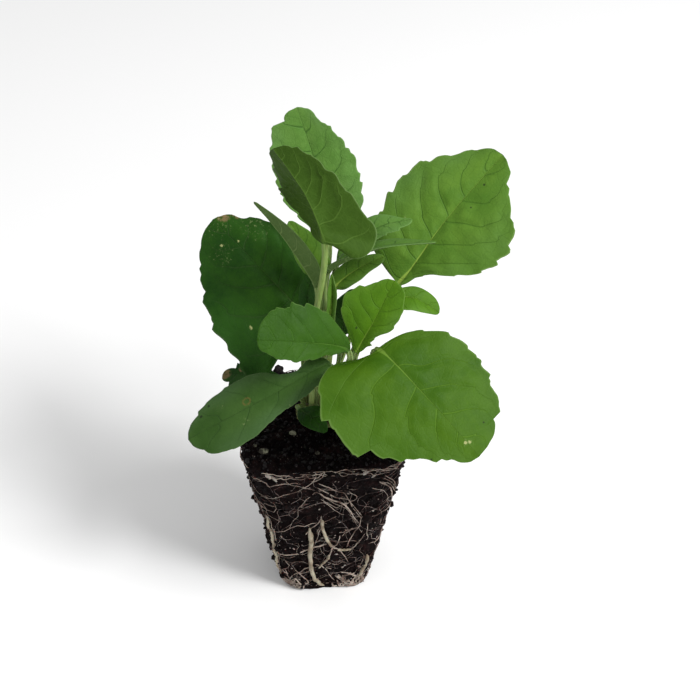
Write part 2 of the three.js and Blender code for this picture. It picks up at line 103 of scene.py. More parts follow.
# ---- the leaves: seats, spines and facings are those of the solids, outlines and teeth nearly so ----
# Each has its seat on the crown as ring and place, its skin, and the number of side veins on each half.
# The spine goes through the knee, the foot of the blade, its middle and its tip, in heights above the block.
# One facing, or one at the foot and one at the tip. The half widths are those at 0.1, 0.3, 0.5, 0.7 and 0.9
# of the blade. A tooth is its place along the blade and its depth, a lobe how far the foot reaches back in
# half widths, and a fold the rise of both halves in degrees at the foot and at the tip.
LEAVES = [
    dict(name="leaf_back_tall", seat=(2, 4), skin="silver", ribs=5,
         knee=(-1, 11, 28), foot=(3, 17, 60), middle=(-1, 24, 83), tip=(-7, 28, 103),
         faces=((0.1, -1, 0.3), (0, -1, 0.2)), fold=(6, 4),
         left=(6, 12, 14, 13, 9), right=(9, 13, 13, 10, 5),
         teeth_left=((0.4, 0.5), (0.92, 2.6)), teeth_right=((0.35, 0.6), (0.6, 0.6), (0.8, 0.5))),
    dict(name="leaf_front_upright", seat=(2, 8), skin="olive", ribs=6,
         knee=(-2, -6, 40), foot=(2, -10, 76), middle=(-3, -8, 91), tip=(-13, -4, 105),
         faces=((0.25, 0.95, 0.2), (0.3, 0.9, 0.4)), fold=(28, 25),
         left=(14, 13, 11, 9, 6), right=(5, 9, 14, 16, 11),
         teeth_left=((0.9, 1),), teeth_right=((0.62, 3), (0.82, 3)), lobes=(0.95, 0)),
    dict(name="leaf_right_high", seat=(2, 2), skin="fresh", ribs=6,
         knee=(12, 8, 32), foot=(26, 11, 47), middle=(41, 21, 65), tip=(60, 32, 84),
         faces=((-0.1, -0.6, 0.8), (0, -0.6, 0.8)), fold=(6, 4),
         left=(16, 19, 21, 18, 9), right=(3, 17, 23, 21, 8),
         teeth_left=((0.45, 0.5), (0.7, 0.6)),
         teeth_right=((0.5, 0.8), (0.62, 1), (0.75, 1), (0.88, 1))),
    dict(name="leaf_left_broad", seat=(2, 5), skin="shade", ribs=6,
         knee=(-6, 5, 25), foot=(-6, 8, 35), middle=(-20, 16, 50), tip=(-36, 26, 63),
         faces=((-0.1, -0.7, 0.8), (-0.2, -0.8, 0.6)), fold=(4, 0),
         left=(24, 27, 24, 19, 11), right=(6, 14, 16, 13, 6),
         teeth_left=((0.25, 1), (0.45, 1), (0.65, 1), (0.82, 0.8)), lobes=(0.8, 0)),
    dict(name="leaf_left_narrow", seat=(1, 4), skin="sage", ribs=5,
         knee=(-2, -1, 37), foot=(-1, -1, 54), middle=(-9, -1, 70), tip=(-20, 1, 84),
         faces=((0.7, 0.45, 0.3),), fold=(20, 15), both=(4, 7, 8, 6, 3)),
    dict(name="leaf_left_young", seat=(1, 2), skin="fresh", ribs=5,
         knee=(-2, 7, 31), foot=(0, 8, 52), middle=(-4, 10, 61), tip=(-10, 13, 70),
         faces=((0, -0.8, 0.6),), both=(4, 5, 5, 4, 2)),
    dict(name="leaf_right_toothed", seat=(2, 3), skin="silver", ribs=5,
         knee=(3, 9, 35), foot=(6, 12, 55), middle=(19, 14, 67), tip=(30, 14, 70),
         faces=((0, -0.3, 1),), fold=(10, 10),
         left=(3, 5, 5, 3, 1), right=(3, 5, 5, 5, 3), teeth_right=((0.6, 0.6), (0.8, 0.8))),
    dict(name="leaf_right_narrow", seat=(0, 0), skin="sage", ribs=5,
         knee=(2, 1, 39), foot=(3, 2, 58), middle=(18, 0, 68), tip=(37, 0, 70),
         faces=((0.1, 0.2, 1), (0.1, 0.3, 1)), fold=(10, 10), both=(6, 7, 5, 4, 2)),
    dict(name="leaf_right_young", seat=(1, 1), skin="fresh", ribs=4,
         knee=(4, 3, 33), foot=(5, 4, 50), middle=(12, 6, 56), tip=(21, 9, 59),
         faces=((0, -0.5, 0.8),), both=(3, 4, 4, 3, 2)),
    dict(name="leaf_middle_left", seat=(2, 10), skin="meadow", ribs=5,
         knee=(8, -9, 22), foot=(9, -14, 38), middle=(-5, -22, 47), tip=(-19, -25, 50),
         faces=((0, -0.75, 0.65),), fold=(5, 0),
         left=(2, 4, 6, 6, 4), right=(4, 10, 12, 11, 8),
         teeth_right=((0.5, 0.8), (0.64, 1.2), (0.8, 0.6))),
    dict(name="leaf_middle_front", seat=(2, 11), skin="clear", ribs=5,
         knee=(10, -5, 20), foot=(12, -8, 33), middle=(18, -6, 45), tip=(24, -2, 57),
         faces=((0, -0.8, 0.6),), fold=(10, 5),
         left=(3, 9, 12, 11, 5), right=(2, 4, 7, 7, 5),
         teeth_left=((0.78, 1),), teeth_right=((0.2, 0.8),)),
    dict(name="leaf_right_oval", seat=(2, 1), skin="clear", ribs=4,
         knee=(11, 2, 27), foot=(21, 0, 48), middle=(30, 0, 49), tip=(39, 0, 43),
         faces=((0, -0.5, 0.9),),
         left=(2, 3, 4, 4, 3), right=(2, 5, 5, 4, 2)),
    dict(name="leaf_front_broad", seat=(2, 0), skin="lush", ribs=5,
         knee=(16, -6, 24), foot=(19, -18, 41), middle=(34, -31, 32), tip=(50, -43, 18),
         faces=((0.1, -0.6, 0.8), (0.2, -0.7, 0.7)), fold=(0, -8),
         left=(12, 20, 22, 20, 14), right=(17, 29, 28, 19, 8),
         teeth_left=((0.5, 0.5), (0.66, 0.8), (0.88, 2.2)),
         teeth_right=((0.05, 0.8), (0.3, 1.5), (0.5, 3.2), (0.7, 1.2), (0.85, 1.2)),
         lobes=(0, 0.9)),
    dict(name="leaf_front_long", seat=(2, 9), skin="sea", ribs=5,
         knee=(2, -7, 15), foot=(3, -11, 30), middle=(-16, -21, 25), tip=(-43, -25, 10),
         faces=((-0.2, -0.6, 0.8),), fold=(0, -5),
         left=(4, 6, 7, 10, 8), right=(4, 3, 9, 10, 7),
         teeth_left=((0.93, 0.8),), teeth_right=((0.9, 0.8),)),
    dict(name="leaf_rear_ragged", seat=(2, 6), skin="shade", ribs=4,
         knee=(-9, 2, 8), foot=(-12, 5, 9), middle=(-23, 10, 10), tip=(-35, 14, 7),
         faces=((0, -0.4, 0.9),),
         left=(2, 3, 4, 5, 4), right=(2, 3, 4, 4, 3),
         teeth_left=((0.5, 1), (0.7, 1.5), (0.85, 1.5)), teeth_right=((0.6, 1), (0.8, 1.5))),
    dict(name="leaf_centre_left", seat=(1, 3), skin="shade", ribs=4,
         knee=(-4, 2, 28), foot=(-2, 3, 36), middle=(-4, 3, 47), tip=(-2, 4, 56),
         faces=((-0.3, -0.8, 0.5),), fold=(15, 15), both=(2, 3, 3, 3, 2)),
    dict(name="leaf_centre_folded", seat=(1, 5), skin="fresh", ribs=4,
         knee=(3, -3, 28), foot=(3, -3, 40), middle=(4, -3, 50), tip=(4, -3, 60),
         faces=((0, -0.9, 0.4),), fold=(40, 40), both=(2, 2, 2, 2, 1)),
    dict(name="leaf_centre_right", seat=(1, 0), skin="shade", ribs=4,
         knee=(6, -1, 24), foot=(7, -1, 35), middle=(9, -1, 45), tip=(11, -1, 53),
         faces=((0, -0.8, 0.5),), both=(3, 4, 5, 4, 2)),
    dict(name="leaf_low_small", seat=(2, 7), skin="shade", ribs=4,
         knee=(-8, -5, 8), foot=(-7, -8, 9), middle=(-3, -12, 9), tip=(2, -15, 5),
         faces=((0, -0.2, 1),), both=(2, 4, 5, 4, 2)),
]

# Thick roots: radius at the start and the end, then [degrees round the block, height] points.
ROOTS = {
    "root_front_corner": ((0.6, 0.5), [(230, 41), (230, 32), (226, 20), (223, 10), (221, 3)]),
    "root_front_centre": ((0.9, 0.6), [(260, 38), (260, 27), (258, 19), (259, 10), (265, 4), (272, 2)]),
    "root_front_fork": ((0.6, 0.5), [(270, 42), (273, 32), (280, 25)]),
    "root_fork_left": ((0.5, 0.35), [(277, 21), (273, 17), (265, 13)]),
    "root_fork_right": ((0.5, 0.35), [(285, 24), (291, 23), (298, 23)]),
    "root_front_slant": ((0.6, 0.5), [(268, 56), (280, 51), (288, 49), (294, 44), (300, 38)]),
    "root_slant_branch": ((0.45, 0.35), [(297, 35), (292, 34), (286, 33)]),
    "root_right_low": ((0.7, 0.5), [(313, 18), (312, 12), (308, 6)]),
    "root_right_high": ((0.6, 0.4), [(308, 60), (316, 55), (322, 47)]),
    "root_right_long": ((0.7, 0.5), [(350, 54), (343, 40), (347, 24), (338, 6)]),
    "root_back_right": ((0.7, 0.5), [(52, 52), (64, 40), (70, 25), (86, 10)]),
    "root_back_left": ((0.7, 0.5), [(122, 58), (112, 45), (118, 28), (110, 6)]),
    "root_left_long": ((0.7, 0.5), [(172, 56), (180, 42), (174, 26), (184, 8)]),
}
BUNDLED_ROOTS = ("root_front_slant", "root_slant_branch", "root_right_high")
GRIT = [name for name in sorted(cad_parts) if name.startswith("grit_")]


def mix(a, b, share):
    return a + (b - a) * share


def smooth(x, low=0.0, high=1.0):
    x = min(max((x - low) / (high - low), 0.0), 1.0)
    return x * x * (3 - 2 * x)


def unit(vector):
    return vector / np.linalg.norm(vector)


def srgb(red, green, blue):
    """A colour given as it looks on a screen, 0 to 255, as the linear values that a shader wants."""
    channels = [value / 255 for value in (red, green, blue)]
    return tuple(c / 12.92 if c <= 0.04045 else ((c + 0.055) / 1.055) ** 2.4 for c in channels) + (1.0,)


# ---------------------------------------------------------------- finishes


class Value:
    """A socket in a finish, with the arithmetic that adds its Math nodes."""

    def __init__(self, finish, socket):
        self.finish = finish
        self.socket = socket

    def _math(self, operation, *values):
        sockets = dict(enumerate(values))
        return self.finish.node("ShaderNodeMath", {"operation": operation}, sockets)

    def __add__(self, other):
        return self._math("ADD", self, other)

    def __radd__(self, other):
        return self._math("ADD", other, self)

    def __sub__(self, other):
        return self._math("SUBTRACT", self, other)

    def __rsub__(self, other):
        return self._math("SUBTRACT", other, self)

    def __mul__(self, other):
        return self._math("MULTIPLY", self, other)

    def __rmul__(self, other):
        return self._math("MULTIPLY", other, self)

    def __truediv__(self, other):
        return self._math("DIVIDE", self, other)

    def __pow__(self, other):
        return self._math("POWER", self, other)

    def __abs__(self):
        return self._math("ABSOLUTE", self)

    def fraction(self):
        return self._math("FRACT", self)

    def smooth(self, low, high):
        """0 below low and 1 above high, with an even slope between."""
        settings = {"interpolation_type": "SMOOTHSTEP"}
        sockets = {"Value": self, "From Min": low, "From Max": high, "To Min": 0.0, "To Max": 1.0}
        return self.finish.node("ShaderNodeMapRange", settings, sockets)


class Finish:
    """A node material and the few ways in which its nodes are made."""

    def __init__(self, name):
        self.material = bpy.data.materials.new(name)
        self.material.use_nodes = True
        self.tree = self.material.node_tree
        self.tree.nodes.clear()

    def node(self, kind, settings=None, sockets=None, output=0):
        made = self.tree.nodes.new(kind)
        for key, value in (settings or {}).items():
            if key == "stops":
                for place, colour in value[2:]:
                    made.color_ramp.elements.new(place)
                for element, (place, colour) in zip(made.color_ramp.elements, value):
                    element.position = place
                    element.color = colour
            else:
                setattr(made, key, value)
        for key, value in (sockets or {}).items():
            if isinstance(value, Value):
                self.tree.links.new(value.socket, made.inputs[key])
            else:
                made.inputs[key].default_value = value
        return Value(self, made.outputs[output]) if made.outputs else made

    def place(self):
        """Where a point is on the piece, in millimetres."""
        where = self.node("ShaderNodeTexCoord", output=3)
        return self.node("ShaderNodeVectorMath", {"operation": "SCALE"}, {0: where, 3: 1 / MM})

    def map_parts(self, name):
        """The two numbers that one of the leaf's maps holds."""
        where = self.node("ShaderNodeUVMap", {"uv_map": name})
        return [self.node("ShaderNodeSeparateXYZ", None, {0: where}, part) for part in (0, 1)]

    def vector(self, operation, first, second):
        return self.node("ShaderNodeVectorMath", {"operation": operation}, {0: first, 1: second})

    def noise(self, vector, size, detail=3.0, rough=0.5, warp=0.0):
        """Soft noise from 0 to 1 with spots about size across."""
        sockets = {"Vector": vector, "Scale": 1 / size, "Detail": detail, "Roughness": rough,
                   "Distortion": warp}
        return self.node("ShaderNodeTexNoise", None, sockets)

    def cells(self, vector, size, feature="F1", output=0):
        """The distance to the nearest middle, or edge, of cells about size across."""
        sockets = {"Vector": vector, "Scale": 1 / size}
        return self.node("ShaderNodeTexVoronoi", {"feature": feature}, sockets, output)

    def blend(self, factor, first, second):
        """One colour turning into another."""
        return self.node("ShaderNodeMix", {"data_type": "RGBA"}, {0: factor, 6: first, 7: second}, 2)

    def layers(self, base, *layers):
        """Colours laid over a base one after the other, each as far as its factor says."""
        for factor, colour in layers:
            base = self.blend(factor, base, colour)
        return base

    def ramp(self, value, *stops):
        return self.node("ShaderNodeValToRGB", {"stops": stops}, {0: value})

    def bump(self, height, strength, distance):
        sockets = {"Height": height, "Strength": strength, "Distance": distance}
        return self.node("ShaderNodeBump", None, sockets)

    def skin(self, base, rough, normal, gloss, flesh=None):
        """The surface shader; flesh is how much light goes through and how far, in metres."""
        sockets = {"Base Color": base, "Roughness": rough, "Normal": normal, "Specular IOR Level": gloss}
        if flesh:
            sockets["Subsurface Weight"], sockets["Subsurface Scale"] = flesh
        return self.node("ShaderNodeBsdfPrincipled", None, sockets)

    def show(self, shader):
        self.node("ShaderNodeOutputMaterial", None, {"Surface": shader})
        return self.material


# The tones of each green: the blade's dark and light tone and its greyer margin, which is a painted
# blue-grey sheen, the midrib, the side veins, the rim, which is a painted pale highlight along the edge, the
# underside and its veins, and the stalk's dark and light tone.
TONES = ("dark", "light", "margin", "mid", "vein", "rim", "under", "rib", "stalk", "ridge")
SKINS = {
    "fresh": [(74, 114, 32), (98, 136, 44), (84, 122, 50), (146, 176, 72), (66, 104, 30),
              (124, 152, 86), (84, 112, 48), (118, 144, 78), (104, 130, 56), (134, 156, 84)],
    "lush": [(52, 90, 3), (68, 104, 6), (68, 104, 22), (102, 136, 46), (80, 116, 26),
             (108, 138, 70), (80, 110, 44), (112, 138, 74), (100, 126, 56), (130, 152, 84)],
    "clear": [(66, 108, 8), (86, 128, 18), (84, 124, 40), (112, 148, 48), (74, 114, 18),
              (116, 146, 76), (80, 110, 44), (112, 138, 74), (100, 126, 56), (130, 152, 84)],
    "silver": [(84, 128, 50), (106, 146, 66), (98, 138, 70), (68, 106, 40), (58, 98, 34),
               (122, 154, 94), (84, 112, 54), (112, 136, 78), (98, 124, 58), (126, 148, 84)],
    "meadow": [(38, 76, 4), (52, 92, 8), (54, 92, 22), (66, 104, 28), (56, 96, 20),
               (96, 128, 64), (76, 104, 42), (106, 132, 72), (92, 120, 50), (124, 146, 80)],
    "sage": [(74, 114, 38), (94, 132, 52), (86, 124, 56), (68, 106, 38), (52, 90, 28),
             (112, 144, 84), (80, 108, 50), (110, 134, 76), (98, 124, 58), (126, 148, 84)],
    "sea": [(46, 78, 24), (64, 96, 40), (68, 98, 54), (60, 92, 36), (50, 82, 32),
            (90, 116, 70), (70, 98, 46), (100, 124, 70), (84, 112, 48), (112, 136, 72)],
    # painted shade: darker tones for the leaves that sit in the shade of the others
    "shade": [(20, 60, 5), (46, 90, 12), (38, 80, 20), (58, 88, 36), (46, 76, 28),
              (66, 94, 48), (54, 82, 34), (82, 108, 56), (78, 106, 44), (104, 130, 64)],
    "olive": [(48, 78, 26), (64, 94, 36), (64, 92, 42), (76, 106, 48), (60, 90, 36),
              (112, 140, 84), (54, 84, 14), (74, 104, 34), (98, 124, 54), (124, 146, 76)],
}

# Marks on single leaves: across and along the blade in millimetres, radius, and what it is.
MARKS = {
    "leaf_left_broad": [(4, 44, 3.4, "dry"), (8, 41, 3.0, "dry"), (0, 44, 8.0, "flecked"),
                        (9, 34, 8.0, "flecked"), (-6, 34, 6.0, "flecked"), (-16, 14, 0.5, "pale"),
                        (-4, 37, 0.5, "pale"), (1, 34, 0.45, "pale")],
    "leaf_right_high": [(-14, 18, 1.4, "flecked"), (-11, 21, 1.4, "flecked"), (2, 44, 0.5, "black"),
                        (9, 50, 4.0, "flecked"), (4, 36, 0.4, "black")],
    "leaf_front_broad": [(0, 41, 2.4, "flecked"), (-0.8, 41.6, 0.6, "pale"), (0.2, 41.0, 0.6, "pale"),
                         (-14, 6, 0.4, "black"), (12, 38, 0.35, "black"), (-9, 40, 0.35, "black")],
    "leaf_front_long": [(2, 34, 1.5, "ring"), (5, 42, 3.0, "flecked"), (-6, 22, 2.0, "flecked"),
                        (5, 48, 0.5, "black"), (-4, 36, 3.0, "flecked"), (7, 45, 0.4, "black")],
    "leaf_rear_ragged": [(0, 24, 2.6, "dry"), (2, 18, 1.4, "dry")],
    "leaf_middle_front": [(-4, 8, 0.4, "black")],
}
MARK_COLOURS = {"dry": srgb(136, 112, 78), "pale": srgb(176, 180, 120), "flecked": srgb(134, 150, 96),
                "black": srgb(24, 26, 16), "ring": srgb(120, 100, 52)}


def leaf_tones(leaf):
    return {key: srgb(*value) for key, value in zip(TONES, SKINS[leaf["skin"]])}


def leaf_finish(leaf, length, side, number):
    """The skin of one side of one blade: veins that follow its maps with painted shade beside them,
    mottling, a painted blue-grey sheen towards the margin, a painted highlight along its rim, and its marks.
    """
    tones = leaf_tones(leaf)
    finish = Finish(f"{leaf['name']}_{side}")
    across, along = finish.map_parts("blade_size")
    phase, reach = finish.map_parts("blade_veins")
    spot = finish.node("ShaderNodeCombineXYZ", None, {0: across, 1: along, 2: 17.0 * number})

    share = along / length
    mid_width = 0.42 - 0.3 * share
    midrib = 1 - (abs(across) / mid_width).smooth(0.35, 1.0)
    gap = length / leaf["ribs"] * 0.8
    from_vein = abs((phase + 0.5).fraction() - 0.5) * gap
    vein_width = 0.32 - 0.2 * reach
    on_blade = phase.smooth(-0.25, -0.05) * (1 - reach.smooth(0.75, 0.97))
    veins = (1 - (from_vein / vein_width).smooth(0.2, 1.0)) * on_blade
    drift = finish.node("ShaderNodeTexNoise", None, {"Vector": spot, "Scale": 0.4}, 1)
    bent = finish.vector("ADD", spot, drift)
    net = 1 - finish.cells(bent, 3.4, "DISTANCE_TO_EDGE").smooth(0.01, 0.09)
    fine_net = 1 - finish.cells(bent, 1.1, "DISTANCE_TO_EDGE").smooth(0.0, 0.14)
    mottle = finish.noise(spot, 14, 4, 0.55)
    freckle = finish.noise(spot, 2.2, 3, 0.6)
    # painted shade: a dark band beside the sunken side veins
    shade_beside_vein = (1 - (from_vein / vein_width).smooth(0.9, 2.6)) * (1 - veins) * (1 - reach)

    if side == "upper":
        patches = (mottle * 1.4 - 0.2 + (freckle - 0.5) * 0.4).smooth(0.1, 0.9)
        base = finish.layers(
            finish.blend(patches, tones["dark"], tones["light"]),
            # painted sheen: a greyer, bluer tone towards the margin
            (reach.smooth(0.25, 1.0) * mottle.smooth(0.3, 0.7), tones["margin"]),
            (fine_net * 0.12, tones["dark"]),
            (net * 0.1, tones["vein"]),
            # painted shade beside the veins
            (shade_beside_vein * 0.3, tones["dark"]),
            (veins * (0.75 - 0.35 * reach), tones["vein"]),
            (midrib * (0.95 - 0.75 * share.smooth(0.08, 0.6)), tones["mid"]))
    else:
        darker = tuple(0.78 * c for c in tones["under"][:3]) + (1.0,)
        base = finish.blend((mottle * 1.2 - 0.1).smooth(0.1, 0.9), tones["under"], darker)
        raised_veins = [fine_net * 0.12, net * 0.14, veins * 0.7, midrib]
        base = finish.layers(base, *[(factor, tones["rib"]) for factor in raised_veins])
    # painted highlight: a paler band along the rim of the blade
    base = finish.blend(reach.smooth(0.965, 0.995) * 0.6, base, tones["rim"])

    ragged = finish.noise(spot, 1.0, 5, 0.75)
    for x, y, radius, kind in MARKS.get(leaf["name"], []):
        away = ((across - x) ** 2.0 + (along - y) ** 2.0) ** 0.5 / radius
        if kind == "ring":
            off_ring = abs(away - 0.75 + (ragged - 0.5) * 0.5)
            mark = (1 - off_ring.smooth(0.08, 0.3)) * ragged.smooth(0.35, 0.55)
        elif kind == "flecked":
            mark = (1 - away.smooth(0.4, 1.0)) * (ragged - away * 0.06).smooth(0.55, 0.61) * 0.75
        elif kind == "dry":
            torn = (ragged * 0.6 + freckle * 0.5 - away * 0.1).smooth(0.4, 0.5)
            mark = (1 - away.smooth(0.6, 1.0)) * torn
        else:
            mark = 1 - (away * 0.8 + (ragged - 0.5) * 3.4).smooth(0.45, 0.85)
        base = finish.blend(mark * (0.5 if kind == "ring" else 0.8), base, MARK_COLOURS[kind])

    raised = -1 if side == "upper" else 1
    height = raised * (midrib * 0.5 + veins * 0.4 + net * 0.1 + fine_net * 0.08) + freckle * 0.14
    normal = finish.bump(height, 0.75, 0.4 * MM)
    shine = 0.5 + 0.16 * mottle if side == "upper" else 0.64 + 0.14 * mottle
    skin = finish.skin(base, shine, normal, 0.15)
    even_green = tones["light"] if side == "upper" else tones["under"]
    glow = finish.node("ShaderNodeBsdfTranslucent", None, {"Color": even_green, "Normal": normal})
    return finish.show(finish.node("ShaderNodeMixShader", None, {0: 0.16, 1: skin, 2: glow}))


def stalk_finish(leaf, number):
    """The leaf's stalk: pale green ribs, whiter and a little red at the foot."""
    tones = leaf_tones(leaf)
    finish = Finish(f"{leaf['name']}_stalk")
    below_blade = -1 * finish.map_parts("blade_size")[1]
    grain = finish.noise(finish.vector("MULTIPLY", finish.place(), (1.6, 1.6, 0.18)), 1.0, 4, 0.6)
    base = finish.layers(
        finish.blend(grain.smooth(0.3, 0.7), tones["stalk"], tones["ridge"]),
        (below_blade.smooth(14, 40) * 0.35, srgb(150, 164, 104)),
        (below_blade.smooth(34, 60) * grain.smooth(0.35, 0.65) * 0.45, srgb(132, 84, 66)))
    normal = finish.bump(grain, 0.4, 0.2 * MM)
    return finish.show(finish.skin(base, 0.5 + 0.15 * grain, normal, 0.35, (0.08, 0.002)))


def mix_finish(name, gloss, low, middle, high):
    """Moist growing mix: near black peat with brown fibres and a few pale flecks, and painted shade between
    crumbs.
    """
    finish = Finish(name)
    place = finish.place()
    clods = finish.noise(place, 5, 6, 0.65)
    crumbs = finish.cells(place, 1.2)
    flecks = 1 - finish.cells(place, 1.9).smooth(0.08, 0.2)
    fleck_choice = finish.noise(place, 3.1, 2).smooth(0.56, 0.64)
    fibre_way = finish.vector("MULTIPLY", place, (1.0, 1.0, 4.0))
    fibres = finish.noise(fibre_way, 1.6, 4, 0.7, 1.5).smooth(0.56, 0.72)
    base = finish.layers(
        finish.ramp(clods, (0.32, low), (0.5, middle), (0.7, high)),
        (fibres * 0.35, srgb(70, 48, 36)),
        # painted shade: the gaps between crumbs, where the bump is lowest, go near black
        (crumbs.smooth(0.2, 0.7) * 0.6, srgb(7, 5, 5)),
        (flecks * fleck_choice * 0.7, srgb(138, 126, 118)))
    height = (1 - crumbs) * 0.6 + clods * 0.8 + fibres * 0.3
    normal = finish.bump(height, 0.9, 0.9 * MM)
    return finish.show(finish.skin(base, 0.6 + 0.35 * clods, normal, gloss))


def root_finish(name, pale, stained):
    """Roots: cream with brown stains and rings, and soil in their grooves."""
    finish = Finish(name)
    place = finish.place()
    stain = finish.noise(place, 4.5, 4, 0.6)
    rings = finish.noise(place, 0.7, 3, 0.6)
    base = finish.layers(
        finish.blend(stain.smooth(0.38, 0.66), pale, stained),
        (rings.smooth(0.55, 0.75) * 0.45, srgb(104, 80, 54)),
        (finish.noise(place, 2.4, 5, 0.7).smooth(0.58, 0.68) * 0.6, srgb(52, 38, 27)))
    normal = finish.bump(rings, 0.5, 0.25 * MM)
    return finish.show(finish.skin(base, 0.55 + 0.25 * rings, normal, 0.35, (0.1, 0.001)))


def grit_finish(name, dusting):
    """Chips of pale stone, dusted with soil."""
    finish = Finish(name)
    place = finish.place()
    grain = finish.noise(place, 0.9, 5, 0.6)
    dust = finish.noise(place, 1.6, 4, 0.6)
    base = finish.ramp(grain, (0.3, srgb(98, 98, 80)), (0.6, srgb(148, 148, 126)))
    base = finish.blend((dust + dusting).smooth(0.45, 0.65) * 0.92, base, srgb(28, 22, 19))
    normal = finish.bump(grain, 0.5, 0.25 * MM)
    return finish.show(finish.skin(base, 0.65 + 0.2 * dust, normal, 0.15))


def crown_finish():
    """The crown: green going to straw and brown where the old sheaths were."""
    finish = Finish("crown_skin")
    place = finish.place()
    patches = finish.noise(place, 2.6, 4, 0.6)
    fibres = finish.noise(place, 0.8, 4, 0.6)
    base = finish.ramp(patches, (0.34, srgb(70, 56, 36)), (0.5, srgb(104, 112, 60)),
                       (0.68, srgb(136, 142, 86)))
    base = finish.blend(fibres.smooth(0.5, 0.75) * 0.5, base, srgb(84, 62, 42))
    normal = finish.bump(fibres, 0.6, 0.4 * MM)
    return finish.show(finish.skin(base, 0.6 + 0.2 * fibres, normal, 0.3))


# ---------------------------------------------------------------- making pieces


def stand(name, data):
    """An object with this mesh, lamp or camera, in the scene."""
    made = bpy.data.objects.new(name, data)
    bpy.context.scene.collection.objects.link(made)
    return made


def mesh_object(bm, name, materials, smooth_faces=False):
    mesh = bpy.data.meshes.new(name)
    bm.to_mesh(mesh)
    bm.free()
    for face in mesh.polygons:
        face.use_smooth = smooth_faces
    for material in materials:
        mesh.materials.append(material)
    return stand(name, mesh)


def finished(bm, name, materials, replaces=(), smooth_faces=True):
    """The bmesh as a piece in metres that rides with the plant and stands for its solid."""
    bmesh.ops.scale(bm, vec=(MM, MM, MM), verts=bm.verts)
    piece = mesh_object(bm, name, materials, smooth_faces)
    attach(piece, "root")
    if replaces:
        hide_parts(*replaces)
    return piece


def around(radius, angle, z):
    """A point at a radius from the upright axis, in a direction given in radians."""
    return np.array([radius * math.cos(angle), radius * math.sin(angle), z])


def catmull(points, at, centripetal):
    """The point at a share of a Catmull-Rom curve, with even spans or with centripetal ones."""
    points = [np.array(point, float) for point in points]
    last = len(points) - 1
    span = min(int(at * last), last - 1)
    t = at * last - span
    p1, p2 = points[span], points[span + 1]
    if centripetal:
        p0 = points[span - 1] if span > 0 else 2 * p1 - p2
        p3 = points[span + 2] if span + 2 <= last else 2 * p2 - p1
        d0, d1, d2 = [np.linalg.norm(b - a) ** 0.5 for a, b in ((p0, p1), (p1, p2), (p2, p3))]
        m1 = ((p1 - p0) / d0 - (p2 - p0) / (d0 + d1) + (p2 - p1) / d1) * d1
        m2 = ((p2 - p1) / d1 - (p3 - p1) / (d1 + d2) + (p3 - p2) / d2) * d1
    else:
        p0 = points[max(span - 1, 0)]
        p3 = points[min(span + 2, last)]
        m1 = (p2 - p0) / 2
        m2 = (p3 - p1) / 2
    return (2 * p1 - 2 * p2 + m1 + m2) * t**3 + (3 * p2 - 3 * p1 - 2 * m1 - m2) * t**2 + m1 * t + p1


def seat_point(ring, place):
    """Where a stalk starts: its ring round the middle of the crown and its place on that ring."""
    radius = 0 if ring == 0 else STALK_PITCH / (2 * math.sin(math.pi / SEATS[ring]))
    return around(radius, place / SEATS[ring] * math.tau, SEAT_HEIGHT)


def spine_points(leaf):
    """The points that the spine of a stalk and its blade goes through."""
    seat = seat_point(*leaf["seat"])
    places = [leaf[key] for key in ("knee", "foot", "middle", "tip")]
    above = [np.array([x, y, PLUG_HEIGHT + height]) for x, y, height in places]
    return [seat, seat + [0, 0, STALK_RISE], *above]


def half_width(widths, share):
    """The half width of one side before its teeth, at a share of the blade's length."""
    places = (0.1, 0.3, 0.5, 0.7, 0.9)
    fullness = [(p, w / math.sqrt(p * (1 - p))) for p, w in zip(places, widths)]
    along = min(max((share - 0.1) / 0.8, 0.0), 1.0)
    return catmull(fullness, along, False)[1] * math.sqrt(max(share * (1 - share), 0.0))


def tooth_cut(teeth, share):
    """How far the margin steps in after each tooth, less the flare that leads up to its point."""
    ends = [place for place, depth in teeth[1:]] + [1]
    cut = 0.0
    for (place, depth), end in zip(teeth, ends):
        if place + 1e-6 < share < end:
            cut += depth * (1 - (share - place) / (end - place)) ** 1.5
        elif share <= place + 1e-6:
            cut -= 0.45 * depth * smooth(share, place - 0.07, place) ** 2
    return cut


def vein_origin(share, reach, widths, length):
    """Where on the midrib the side vein through a point starts, as a share of the blade's length."""
    arc = reach * (0.5 + 0.5 * reach * reach)
    spread = max(widths) / length
    origin = share
    for _ in range(8):
        start = min(max(origin, 0.0), 1.0)
        slope = mix(0.5, 1.35, smooth(start, 0.0, 0.4)) * (1 - 0.55 * start) * spread
        origin = mix(origin, share - slope * arc, 0.7)
    return origin


def spine_sections(leaf, spine, cuts, blade_rows):
    """For each row of the leaf's sheet, where it is on the spine and its directions there."""
    foot_face, tip_face = [unit(np.array(leaf["faces"][end], float)) for end in (0, -1)]
    sections = []
    for row in range(STALK_ROWS + blade_rows + 1):
        if row <= STALK_ROWS:
            at = STALK_SHARE * row / STALK_ROWS
        else:
            even_share = (row - STALK_ROWS) / blade_rows
            near = [cut for cut in cuts if abs(cut - even_share) < 0.5 / blade_rows]
            at = mix(STALK_SHARE, 1.0, near[0] if near else even_share)
        share = max((at - STALK_SHARE) / (1 - STALK_SHARE), 0.0)
        ahead = catmull(spine, min(at + 1e-3, 1.0), True) - catmull(spine, max(at - 1e-3, 0.0), True)
        along = unit(ahead)
        up = mix(foot_face, tip_face, smooth(share))
        up = unit(up - along * np.dot(up, along))
        sections.append(dict(point=catmull(spine, at, True), along=along, up=up, across=np.cross(along, up),
                             share=share, at=at, flat=smooth(share, 0, 0.14)))
    return sections


